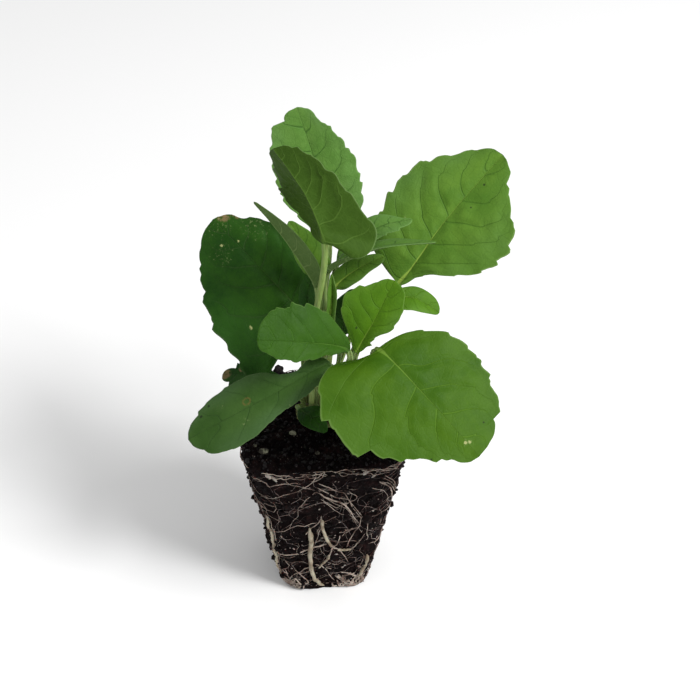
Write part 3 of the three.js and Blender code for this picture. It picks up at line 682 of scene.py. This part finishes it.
def build_leaf(leaf, number):
    """One leaf and its stalk as one closed skin: a sheet wrapped round the spine."""
    spine = spine_points(leaf)
    names = ("left", "right")
    widths = {key: leaf.get(key, leaf.get("both")) for key in names}
    teeth = {key: leaf.get("teeth_" + key, ()) for key in names}
    cuts = sorted(place for key in names for place, depth in teeth[key] if depth > 0.7)
    lobes = dict(zip(names, leaf.get("lobes", (0, 0))))
    foot_fold, tip_fold = leaf.get("fold", (8, 8))
    steps = [catmull(spine, STALK_SHARE + (1 - STALK_SHARE) * k / SPINE_STEPS, True)
             for k in range(SPINE_STEPS + 1)]
    length = sum(np.linalg.norm(b - a) for a, b in zip(steps, steps[1:]))
    broad = max(*widths["left"], *widths["right"])
    stalk_size = STALK_RADIUS * mix(0.6, 0.78, smooth(broad, 4, 14))
    cells = 2 * round(mix(14, 36, smooth(broad, 4, 24)))
    blade_rows = round(mix(50, 110, smooth(length, 15, 60)))
    rows = STALK_ROWS + blade_rows
    drift = Vector((number * 31.7, number * 11.3, 0))
    sections = spine_sections(leaf, spine, cuts, blade_rows)

    bm = bmesh.new()
    bmesh.ops.create_grid(bm, x_segments=2 * cells, y_segments=rows, size=1)
    size_layer = bm.loops.layers.uv.new("blade_size")
    vein_layer = bm.loops.layers.uv.new("blade_veins")
    grid = {v.index: (round((v.co.x + 1) * cells), round((v.co.y + 1) / 2 * rows)) for v in bm.verts}

    places = {}
    for vertex in bm.verts:
        column, row = grid[vertex.index]
        here = sections[row]
        share, flat = here["share"], here["flat"]
        turn = column / (2 * cells)
        upper = turn <= 0.5
        even = -1 + 4 * turn if upper else 3 - 4 * turn
        side = "left" if even < 0 else "right"
        inner = 1 - 2 / cells
        reach = 1.0 if abs(even) > inner + 1e-6 else EDGE_REACH * (abs(even) / inner) ** 1.25
        sign = -1 if even < 0 else 1
        face = 1 if upper else -1

        # the margin: teeth, a little unevenness and shallow crenels
        blade = half_width(widths[side], share) - tooth_cut(teeth[side], share)
        edge_noise = noise.noise(Vector((share * length * 0.45, sign * 7.0, number * 3.0)))
        crenel = (share * length / 6.4 + 0.37 * number + (0.4 if side == "left" else 0.0)) % 1.0
        notched = smooth(crenel, 0.0, 0.8) * (1 - smooth(crenel, 0.88, 1.0)) * 0.8 - 0.35
        uneven = edge_noise * 0.35 + notched * smooth(broad, 5, 16)
        blade += uneven * smooth(share, 0.05, 0.2) * smooth(broad, 3, 14)

        # the section: how thin and wide the blade and its stalk are, and how far both halves fold up
        thin = BLADE_THICKNESS * 0.3 * (1 - 0.75 * reach**6)
        stalk = stalk_size * mix(1.0, 1.35, 1 - smooth(here["at"], 0.0, 0.08))
        width = max(blade, mix(stalk, 0.3, smooth(share, 0, 0.6)))
        rib = stalk * (1 - smooth(share, 0, 0.9)) * 0.85 + 0.15
        fold = math.radians(mix(foot_fold, tip_fold, share)) * flat

        # the side veins: a whole phase is a vein, and away is how far from the nearest one
        origin = vein_origin(share, reach, widths[side], length)
        wobble = noise.noise(Vector((even * 2.2, share * 5.0, number * 5.0))) * 0.22
        offset = VEIN_OFFSET if side == "right" else 0.0
        phase = (origin - 0.03) * leaf["ribs"] + wobble + offset * smooth(origin, 0.03, 0.2)
        away = abs((phase + 0.5) % 1.0 - 0.5)

        # the stalk's ring turns into the blade's flat section
        angle = 2 * math.pi * turn
        ring_out, ring_up = -math.cos(angle), math.sin(angle)
        if upper:
            ring_up *= 1 - 0.45 * math.exp(-(ring_out / 0.45) ** 2)
        out = mix(ring_out * width, sign * reach * width, flat)
        under_rib = rib * math.exp(-((reach * width / max(rib, 0.25)) ** 2) * 1.3)
        lift = (thin + (0 if upper else under_rib)) * (reach < 1.0)

        # the sheet is pillowed between its veins, grooved over the midrib and gently waved
        size = smooth(broad, 3, 20)
        puff = 0.42 * size * smooth(away, 0.0, 0.3) * smooth(reach * width, 0.4, 3.0)
        puff *= (1 - smooth(reach, 0.6, 0.95)) * (1 - smooth(share, 0.55, 0.85))
        puff *= 1.0 if phase > -0.2 else 0.5
        groove = 0.35 * math.exp(-((reach * width / 0.9) ** 2)) * (1 - share)
        sheet = (puff - groove) * smooth(share, 0.04, 0.2)
        place = Vector((out * 0.07, share * length * 0.07, 0)) + drift
        sheet += noise.noise(place) * 1.5 * size * smooth(share, 0, 0.3) * reach**1.5
        sheet += noise.noise(place * 3.1) * 0.35 * size * smooth(share, 0, 0.2)

        height = mix(ring_up * stalk, face * lift + sheet, flat)
        back = lobes[side] * width * max(1 - share / 0.6, 0) ** 2 * smooth(share, 0, 0.02)
        across_part = out * math.cos(fold) - sign * height * math.sin(fold) * smooth(reach, 0, 0.2)
        up_part = abs(out) * math.sin(fold) + height * math.cos(fold)
        closing = 0.25 if row in (0, rows) else 1.0
        point = (here["point"] + here["across"] * across_part * closing + here["up"] * up_part * closing
                 - here["along"] * back * reach)
        places[vertex.index] = (point, even, reach, width, phase)

    # the maps: millimetres across and along, and the phase and reach of the side veins
    for face in bm.faces:
        middle = sum((grid[v.index][0] for v in face.verts)) / len(face.verts) / (2 * cells)
        lowest = min(grid[v.index][1] for v in face.verts)
        even_middle = -1 + 4 * middle if middle <= 0.5 else 3 - 4 * middle
        for loop in face.loops:
            point, even, reach, width, phase = places[loop.vert.index]
            column, row = grid[loop.vert.index]
            here = sections[row]
            if row <= STALK_ROWS:
                down = -(1 - row / STALK_ROWS) * STALK_MAP_LENGTH
                loop[size_layer].uv = (even * 3, down)
                loop[vein_layer].uv = (-1, 0)
            else:
                if reach < 1e-6 and even_middle > 0:
                    phase += VEIN_OFFSET * smooth(here["share"], 0.03, 0.2)
                beside = math.copysign(reach * width, even_middle)
                loop[size_layer].uv = (beside, here["share"] * length)
                loop[vein_layer].uv = (phase, reach)
        if lowest < STALK_ROWS:
            face.material_index = 2
        else:
            face.material_index = 0 if middle <= 0.5 else 1
    for vertex in bm.verts:
        vertex.co = places[vertex.index][0]
    bmesh.ops.remove_doubles(bm, verts=bm.verts, dist=0.0001)
    close_ends(bm)
    bmesh.ops.recalc_face_normals(bm, faces=bm.faces)
    materials = [leaf_finish(leaf, length, "upper", number), leaf_finish(leaf, length, "under", number),
                 stalk_finish(leaf, number)]
    return finished(bm, leaf["name"] + "_skin", materials, [leaf["name"]])


def close_ends(bm):
    """Fills whatever rims are still open."""
    rims = [edge for edge in bm.edges if edge.is_boundary]
    if rims:
        bmesh.ops.holes_fill(bm, edges=rims, sides=0)


# ---------------------------------------------------------------- the block of growing mix


def wall_reach(degrees, z, inset=0.0):
    """How far the block's wall is from its upright axis, in a direction and at a height."""
    share = z / PLUG_HEIGHT
    half = mix(PLUG_FOOT_WIDTH, PLUG_TOP_WIDTH, share) / 2
    corner = mix(PLUG_FOOT_CORNER, PLUG_TOP_CORNER, share)
    turned = math.radians(degrees - PLUG_TURN)
    long = max(abs(math.cos(turned)), abs(math.sin(turned)))
    short = min(abs(math.cos(turned)), abs(math.sin(turned)))
    flat = half - corner
    if half * short <= flat * long:
        return half / long - inset
    along = flat * (long + short)
    return along + math.sqrt(max(along * along - 2 * flat * flat + corner * corner, 0)) - inset


def wall_place(degrees, z, stand_off):
    """A place on the plain wall, or off it."""
    return around(wall_reach(degrees, z) + stand_off, math.radians(degrees), z)


def crumble(place, strength):
    """How far the mix stands out or in at a place: clods, crumbs and pits."""
    clods = noise.fractal(place * 0.11, 0.8, 2.1, 4) * 1.4
    crumbs = 0.55 - noise.voronoi(place * 0.36)[0][0]
    small = 0.5 - noise.voronoi(place * 0.9)[0][0]
    return strength * (clods + 1.9 * crumbs + 0.7 * small)


def capped_crumble(place, strength):
    return min(crumble(place, strength) - CRUMBLE_INSET, CRUMBLE_MOST)


def build_block(material):
    """The block: a fine cube bent to the tapered shape, then crumbled outward and in."""
    bm = bmesh.new()
    bmesh.ops.create_cube(bm, size=2)
    bmesh.ops.subdivide_edges(bm, edges=bm.edges[:], cuts=95, use_grid_fill=True)
    for vertex in bm.verts:
        x, y, z = vertex.co
        out = max(abs(x), abs(y))
        z = (z + 1) / 2 * PLUG_HEIGHT
        degrees = math.degrees(math.atan2(y, x)) if out > 1e-9 else 0.0
        rise = max(z - PLUG_HEIGHT + PLUG_RIM_ROUND, 0) / PLUG_RIM_ROUND
        inset = PLUG_RIM_ROUND * (1 - math.sqrt(max(1 - rise * rise, 0)))
        vertex.co = around(out * wall_reach(degrees, z, inset), math.radians(degrees), z)
    bm.normal_update()
    moves = {}
    for vertex in bm.verts:
        place = vertex.co
        near_top = smooth(place.z, PLUG_HEIGHT - 6, PLUG_HEIGHT)
        move = capped_crumble(place, mix(WALL_ROUGHNESS, TOP_ROUGHNESS, near_top))
        if place.z < 2.5:
            move *= smooth(place.z, -1.5, 2.5)
        moves[vertex.index] = place + vertex.normal * move
    for vertex in bm.verts:
        vertex.co = moves[vertex.index]
        vertex.co.z = max(vertex.co.z, 0.0)
    return finished(bm, "growing_mix_block", [material], ["root_ball"])


def wall_height(degrees, z):
    """Where the crumbled wall really is, outside the plain one."""
    return capped_crumble(Vector(wall_place(degrees, z, 0.0)), WALL_ROUGHNESS)


def tumbled(dice, place, radius):
    """Makes a ball of radius 1 into an uneven one of about this radius, turned at random."""
    turn = Euler([dice.uniform(0, 6.3) for _ in range(3)]).to_matrix().to_4x4()
    shape = Matrix.Diagonal([radius * dice.uniform(0.6, 1.2) for _ in range(3)] + [1.0])
    return Matrix.Translation(place) @ turn @ shape


def build_crumbs(name, count, on_top, seed, material):
    """Loose crumbs on the walls, or over the top with a row of clods behind the crown."""
    dice = random.Random(seed)
    bm = bmesh.new()
    for _ in range(count):
        radius = dice.choice((0.25, 0.3, 0.35, 0.4, 0.5, 0.6, 0.75, 1.1)) * dice.uniform(0.8, 1.2)
        degrees = dice.uniform(0, 360)
        if on_top:
            radius *= 0.7
            out = math.sqrt(dice.random()) * wall_reach(degrees, PLUG_HEIGHT, 0.8)
            place = around(out, math.radians(degrees), PLUG_HEIGHT)
            place[2] += min(crumble(Vector(place), TOP_ROUGHNESS) * 0.8 - 0.2, 1.6)
        else:
            z = PLUG_HEIGHT * dice.uniform(0.03, 1.0)
            radius *= 1.9 if dice.random() < 0.03 else 1.0
            place = wall_place(degrees, z, wall_height(degrees, z) + radius * dice.uniform(-0.4, 0.6))
        place[2] = max(place[2], radius)
        bmesh.ops.create_icosphere(bm, subdivisions=1, radius=1.0, matrix=tumbled(dice, place, radius))
    for _ in range(CLODS if on_top else 0):
        radius = dice.uniform(0.9, 1.9)
        place = (dice.uniform(-20, 4), dice.uniform(17, 25), PLUG_HEIGHT + radius * dice.uniform(0.1, 0.8))
        way = tumbled(dice, place, radius)
        clod = bmesh.ops.create_icosphere(bm, subdivisions=3, radius=1.0, matrix=way)
        for vertex in clod["verts"]:
            vertex.co += Vector(noise.noise_vector(vertex.co * 0.8)) * 0.45 * radius
    for vertex in bm.verts:
        vertex.co += Vector(noise.noise_vector(vertex.co * 1.7)) * 0.18
        vertex.co.z = max(vertex.co.z, 0.0)
    return finished(bm, name, [material], smooth_faces=False)


def tube(bm, path, radii, sides, outward):
    """A tube along a path, closed to a point at both ends; outward is away from the wall at each point."""
    steps = len(path) - 1
    radii = [TUBE_END, *radii[1:-1], TUBE_END]
    made = bmesh.ops.create_grid(bm, x_segments=sides, y_segments=steps, size=1)["verts"]
    for vertex in made:
        angle = (vertex.co.x + 1) * math.pi
        step = round((vertex.co.y + 1) / 2 * steps)
        ahead = unit(path[min(step + 1, steps)] - path[max(step - 1, 0)])
        lift = unit(outward[step] - ahead * np.dot(outward[step], ahead))
        beside = np.cross(ahead, lift)
        radius = radii[step]
        vertex.co = path[step] + (lift * math.cos(angle) + beside * math.sin(angle)) * radius
    bmesh.ops.remove_doubles(bm, verts=made, dist=0.001)


def wall_route(route, steps, sink, dice, wander, radius):
    """A path along the wall through [degrees, height] points, lying on the crumbled mix."""
    path, outward = [], []
    phase = dice.uniform(0, 50)
    for step in range(steps + 1):
        share = step / steps
        degrees, z = catmull(route, share, False)
        shake = Vector((phase + share * len(route) * 1.3, phase, 0))
        degrees += noise.noise(shake) * wander * 2.0
        z += noise.noise(shake + Vector((0, 9, 0))) * wander
        z = min(max(z, 1.0), PLUG_HEIGHT - 0.6)
        rest = 0.55 * max(wall_height(degrees, z), -0.9) + 0.2
        path.append(wall_place(degrees, z, rest + radius * sink))
        outward.append(around(1.0, math.radians(degrees), 0.15))
    return path, outward


def build_thick_root(name, material):
    """One thick root: its route along the wall, thin at both ends, with knots."""
    (first, last), route = ROOTS[name]
    if name in BUNDLED_ROOTS:
        first, last = BUNDLED_ROOT_SIZE * first, BUNDLED_ROOT_SIZE * last
    dice = random.Random(name)
    steps = 16 * (len(route) - 1)
    path, outward = wall_route(route, steps, 0.5, dice, 0.5, first)
    radii = []
    for step in range(steps + 1):
        share = step / steps
        taper = mix(0.35, 1, smooth(share, 0, 0.12)) * mix(0.3, 1, smooth(1 - share, 0, 0.18))
        knots = 1 + 0.22 * noise.noise(Vector((share * len(route) * 4, dice.random() * 0.3, first * 40)))
        radii.append(mix(first, last, share) * taper * knots)
    bm = bmesh.new()
    tube(bm, path, radii, 12, outward)
    bmesh.ops.recalc_face_normals(bm, faces=bm.faces)
    return finished(bm, name + "_skin", [material], [name])


def build_root_net(name, count, material, seed, radius_range, spans, top_bias):
    """A net of thin roots that wander over the walls."""
    dice = random.Random(seed)
    bm = bmesh.new()
    for _ in range(count):
        degrees = dice.uniform(0, 360)
        z = PLUG_HEIGHT * (1 - dice.random() ** top_bias * 0.97)
        headings = [dice.gauss(*way) for way in ((0, 25), (180, 25), (-60, 35), (-120, 35))]
        heading = dice.choice(headings)
        radius = dice.uniform(*radius_range)
        stride = dice.uniform(1.1, 2.6)
        route = [(degrees, z)]
        bend = dice.gauss(0, 9)
        for _ in range(spans):
            heading += dice.gauss(bend, 24)
            reach = wall_reach(degrees, max(z, 1))
            degrees += math.degrees(stride * math.cos(math.radians(heading)) / reach)
            z += stride * math.sin(math.radians(heading))
            z = min(max(z, 1.2), PLUG_HEIGHT - 0.8)
            route.append((degrees, z))
        path, outward = wall_route(route, spans, 0.55, dice, 0.25, radius)
        radii = [radius * mix(1.0, 0.45, step / spans) for step in range(spans + 1)]
        tube(bm, path, radii, 4, outward)
    bmesh.ops.recalc_face_normals(bm, faces=bm.faces)
    return finished(bm, name, [material])


# Thin strands seen on the front: radius, then [degrees, height] points.
STRANDS = [
    (0.28, [(275, 27.5), (262, 25.5), (254, 24), (240, 21.5), (227, 20.5)]),
    (0.34, [(279, 27), (281, 25), (284, 24.2), (288, 24)]),
    (0.32, [(281, 26), (279.5, 23.5), (277, 21), (274, 18)]),
    (0.24, [(281, 24.5), (285, 27.5), (287, 31.5)]),
    (0.24, [(270, 43), (266, 39), (260, 36), (256, 33)]),
    (0.2, [(270, 44), (270, 38), (267, 33), (264, 28)]),
    (0.2, [(286, 24), (292, 20), (297, 15)]),
    (0.22, [(294, 24), (296, 30), (300, 36), (302, 42)]),
    (0.2, [(296, 22), (302, 26), (306, 32)]),
    (0.22, [(257, 14), (249, 12), (240, 9), (232, 4)]),
    (0.2, [(262, 15), (270, 14), (276, 10), (284, 4)]),
]


# Strands bundled along a thick root: how many, and how far they stray.
BUNDLES = {"root_front_slant": (5, 1.9), "root_slant_branch": (3, 1.4), "root_right_high": (4, 1.8),
           "root_right_low": (5, 1.8), "root_front_corner": (3, 0.9)}
FOOT_TUFTS = ((236, 10), (304, 12), (130, 14), (40, 12))


def build_strands(material):
    """The strands of the front, the bundles, and loose strands under the rim and at the foot's corners."""
    dice = random.Random(3)
    strands = list(STRANDS)
    for name, (copies, spread) in BUNDLES.items():
        for _ in range(copies):
            turn, rise = dice.gauss(0, spread), dice.gauss(0, spread)
            route = [(degrees + turn + dice.gauss(0, 0.9), z + rise + dice.gauss(0, 0.9))
                     for degrees, z in ROOTS[name][1]]
            strands.append((dice.uniform(0.08, 0.18), route))
    for _ in range(46):
        start, z = dice.uniform(0, 360), PLUG_HEIGHT - 1.5 - 5 * dice.random() ** 1.5
        span = dice.uniform(12, 34)
        route = [(start + span * k / 5, z + dice.gauss(0, 0.7)) for k in range(6)]
        strands.append((dice.uniform(0.1, 0.22), route))
    for _ in range(95):
        corner, spread = dice.choice(FOOT_TUFTS)
        degrees, z = corner + dice.gauss(0, spread), 0.8 + abs(dice.gauss(0, 3.5))
        route = [(degrees + dice.gauss(0, 5), z + dice.gauss(0, 2.0)) for _ in range(4)]
        strands.append((dice.uniform(0.14, 0.3), route))
    bm = bmesh.new()
    for radius, route in strands:
        steps = 6 * (len(route) - 1)
        path, outward = wall_route(route, steps, 0.7, dice, 0.45, radius)
        radii = [radius * mix(1.0, 0.6, step / steps) for step in range(steps + 1)]
        tube(bm, path, radii, 5, outward)
    bmesh.ops.recalc_face_normals(bm, faces=bm.faces)
    return finished(bm, "root_strands", [material])


def build_flakes(material):
    """Flat pale flakes and chips pressed into the walls and the rim."""
    dice = random.Random(12)
    bm = bmesh.new()
    places = [(239, 65.5, 1.7), (242, 64.5, 1.2), (300, 65.5, 1.6), (304, 63.5, 1.1), (301, 8, 1.1),
              (308, 12, 1.2)]
    for _ in range(420):
        z = PLUG_HEIGHT * (0.03 + 0.94 * dice.random() ** 1.5)
        places.append((dice.uniform(0, 360), z, dice.choice((0.2, 0.25, 0.3, 0.4, 0.6))))
    for degrees, z, size in places:
        place = wall_place(degrees, z, max(wall_height(degrees, z), -0.8) + 0.15)
        facing = Matrix.Rotation(math.radians(degrees), 4, "Z")
        turn = facing @ Matrix.Rotation(dice.uniform(-0.9, 0.9), 4, "X")
        long, wide = size * dice.uniform(0.8, 1.3), size * dice.uniform(0.35, 0.6)
        shape = Matrix.Diagonal([0.3 * size, long, wide, 1.0])
        bmesh.ops.create_icosphere(bm, subdivisions=1 if size < 1 else 3, radius=1.0,
                                   matrix=Matrix.Translation(place) @ turn @ shape)
    for vertex in bm.verts:
        vertex.co += Vector(noise.noise_vector(vertex.co * 1.9)) * 0.16
        vertex.co.z = max(vertex.co.z, 0.1)
    return finished(bm, "wall_flakes", [material])


def build_grit(name, material):
    """One angular chip of stone, worn at its edges, inside its solid's box."""
    low, high = [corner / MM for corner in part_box(name)]
    middle = (low + high) / 2
    half = (high - low) / 2
    dice = random.Random(name)
    bm = bmesh.new()
    bmesh.ops.create_icosphere(bm, subdivisions=1, radius=1.0)
    for vertex in bm.verts:
        vertex.co *= dice.uniform(0.74, 1.05)
    bmesh.ops.subdivide_edges(bm, edges=bm.edges[:], cuts=5, use_grid_fill=True)
    for _ in range(2):
        bmesh.ops.smooth_vert(bm, verts=bm.verts, factor=0.5, use_axis_x=True, use_axis_y=True,
                              use_axis_z=True)
    drift = Vector((dice.uniform(0, 50), 0, 0))
    for vertex in bm.verts:
        vertex.co *= 1.03 + 0.08 * noise.fractal(vertex.co * 2.4 + drift, 0.8, 2, 4)
        vertex.co = middle + Vector((vertex.co.x * half.x, vertex.co.y * half.y, vertex.co.z * half.z))
    return finished(bm, name + "_chip", [material], [name])


def build_crown(material):
    """A low lumpy crown with a swelling round each stalk."""
    seats = [seat_point(*leaf["seat"]) for leaf in LEAVES]
    middle = (crown_low + crown_high) / 2
    half = (crown_high - crown_low) / 2
    bm = bmesh.new()
    bmesh.ops.create_icosphere(bm, subdivisions=6, radius=1.0)
    for vertex in bm.verts:
        way = vertex.co.copy()
        near = min(math.hypot(way.x * half.x - seat[0], way.y * half.y - seat[1]) for seat in seats)
        lumps = noise.fractal(way * 2.6, 0.8, 2.1, 4)
        spread = 1.0 + 0.06 * lumps
        rise = 1.0 if way.z < 0 else 0.8 + 0.45 * math.exp(-((near / 1.7) ** 2)) + 0.12 * lumps
        vertex.co = Vector((middle.x + way.x * half.x * spread, middle.y + way.y * half.y * spread,
                            middle.z + way.z * half.z * rise))
    return finished(bm, "crown_skin", [material], ["crown"])


# ---------------------------------------------------------------- the object

soil = mix_finish("growing_mix", 0.05, srgb(6, 2, 3), srgb(15, 7, 8), srgb(38, 22, 21))
crumb_soil = mix_finish("growing_mix_crumbs", 0.25, srgb(11, 9, 10), srgb(27, 23, 24), srgb(58, 51, 52))
wall_soil = mix_finish("wall_crumb_mix", 0.08, srgb(8, 4, 4), srgb(19, 11, 11), srgb(50, 33, 30))
pale_root = root_finish("thick_root_skin", srgb(164, 156, 136), srgb(112, 98, 80))
thin_root = root_finish("thin_root_skin", srgb(172, 158, 146), srgb(84, 66, 58))
hair_root = root_finish("hair_root_skin", srgb(150, 134, 128), srgb(52, 37, 35))

for number, leaf in enumerate(LEAVES):
    build_leaf(leaf, number)
build_block(soil)
build_crumbs("top_crumbs", 1500, True, 41, crumb_soil)
build_crumbs("wall_crumbs", 1700, False, 42, wall_soil)
build_flakes(root_finish("flake_skin", srgb(150, 142, 134), srgb(92, 78, 70)))
for name in ROOTS:
    build_thick_root(name, thin_root if name in BUNDLED_ROOTS else pale_root)
build_strands(thin_root)
build_root_net("thin_roots", 80, thin_root, 7, (0.09, 0.17), 12, 1.15)
build_root_net("hair_roots", 330, hair_root, 19, (0.04, 0.09), 9, 1.1)
clean_stone = grit_finish("grit_stone", -0.02)
dusty_stone = grit_finish("grit_stone_dusty", 0.13)
for name in GRIT:
    build_grit(name, clean_stone if name == "grit_front_left" else dusty_stone)
build_crown(crown_finish())


# ---------------------------------------------------------------- floor, light and camera


def build_stage():
    floor_finish = Finish("floor_paper")
    paper = floor_finish.node("ShaderNodeBsdfDiffuse", None, {"Color": (0.9, 0.9, 0.9, 1.0)})
    floor_finish.show(paper)
    bm = bmesh.new()
    bmesh.ops.create_grid(bm, x_segments=1, y_segments=1, size=FLOOR_HALF)
    floor = mesh_object(bm, "floor", [floor_finish.material])


def build_light():
    world = bpy.data.worlds.new("soft_studio")
    world.use_nodes = True
    background = world.node_tree.nodes["Background"]
    background.inputs["Color"].default_value = (1.0, 1.0, 1.0, 1.0)
    background.inputs["Strength"].default_value = WORLD_STRENGTH
    bpy.context.scene.world = world
    lamp = bpy.data.lights.new("window", "AREA")
    lamp.shape = "DISK"
    lamp.size = LAMP_SIZE
    lamp.energy = LAMP_ENERGY
    lamp_object = stand("window", lamp)
    lamp_object.location = LAMP_AIM + LAMP_WAY.normalized() * LAMP_DISTANCE
    lamp_object.rotation_mode = "QUATERNION"
    lamp_object.rotation_quaternion = (lamp_object.location - LAMP_AIM).to_track_quat("Z", "Y")


def build_camera():
    lens = bpy.data.cameras.new("camera")
    lens.lens = CAMERA_LENS
    lens.sensor_width = 36
    lens.clip_start = 0.01
    camera = stand("camera", lens)
    back = Vector((0, -math.cos(CAMERA_TILT), math.sin(CAMERA_TILT)))
    camera.location = CAMERA_AIM + back * CAMERA_DISTANCE
    camera.rotation_mode = "QUATERNION"
    camera.rotation_quaternion = back.to_track_quat("Z", "Y")
    bpy.context.scene.camera = camera


build_stage()
build_light()
build_camera()
bpy.context.scene.view_settings.view_transform = "Standard"
